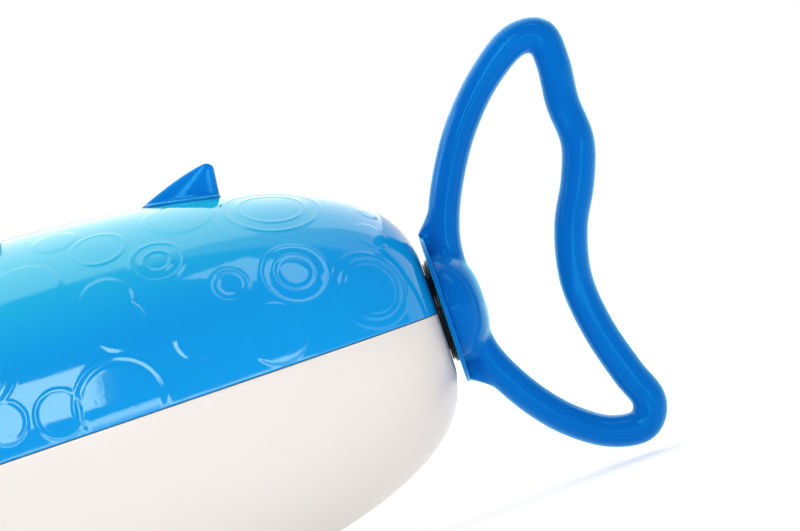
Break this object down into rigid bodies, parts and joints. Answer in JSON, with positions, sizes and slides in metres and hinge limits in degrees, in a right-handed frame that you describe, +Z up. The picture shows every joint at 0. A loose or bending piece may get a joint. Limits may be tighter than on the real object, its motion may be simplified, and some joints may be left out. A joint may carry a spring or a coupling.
{
  "type": "shark squirt bath toy",
  "caption": "Shark-shaped bath toy with a syringe pump inside two body shells; pulling the tail loop draws water in and pushing it squirts water from the nose",
  "frame": {"origin": "centre of the flat on the belly that the toy rests on, under the widest station of the body", "axes": "+X along the pump axis from nose to tail, +Y to the toy's right side, +Z up"},
  "size_m": [0.2931, 0.155, 0.1325],
  "materials": {
    "shell_blue": "glossy moulded blue plastic with low bubble relief",
    "shell_white": "satin moulded warm white plastic",
    "fin_blue": "glossy moulded blue plastic",
    "tail_blue": "glossy moulded blue plastic",
    "eye_white": "glossy white plastic",
    "pump_black": "glossy black plastic",
    "natural_plastic": "uncoloured moulded plastic",
    "seal_rubber": "black rubber",
    "screw_steel": "zinc plated steel"
  },
  "bodies": {
    "body": {"upper_shell": "shell_blue", "lower_shell": "shell_white", "front_dorsal_fin": "fin_blue", "rear_dorsal_fin": "fin_blue", "left_pectoral_fin": "fin_blue", "right_pectoral_fin": "fin_blue", "left_eye": "eye_white", "right_eye": "eye_white", "left_pupil": "pump_black", "right_pupil": "pump_black", "shell_screw_1": "screw_steel", "shell_screw_2": "screw_steel", "shell_screw_3": "screw_steel", "shell_screw_4": "screw_steel", "shell_screw_5": "screw_steel", "shell_screw_6": "screw_steel", "pump_barrel": "natural_plastic", "barrel_end_cap": "natural_plastic", "nozzle": "pump_black", "nozzle_seal": "seal_rubber"},
    "plunger": {"plunger_rod": "pump_black", "piston_head": "pump_black", "piston_seal": "seal_rubber", "piston_screw": "screw_steel", "tail_handle": "tail_blue", "handle_screw": "screw_steel"}
  },
  "joints": [
    {"name": "tail_pull", "type": "slide", "parent": "body", "child": "plunger", "axis": [1, 0, 0], "range_m": [0, 0.14]}
  ]
}
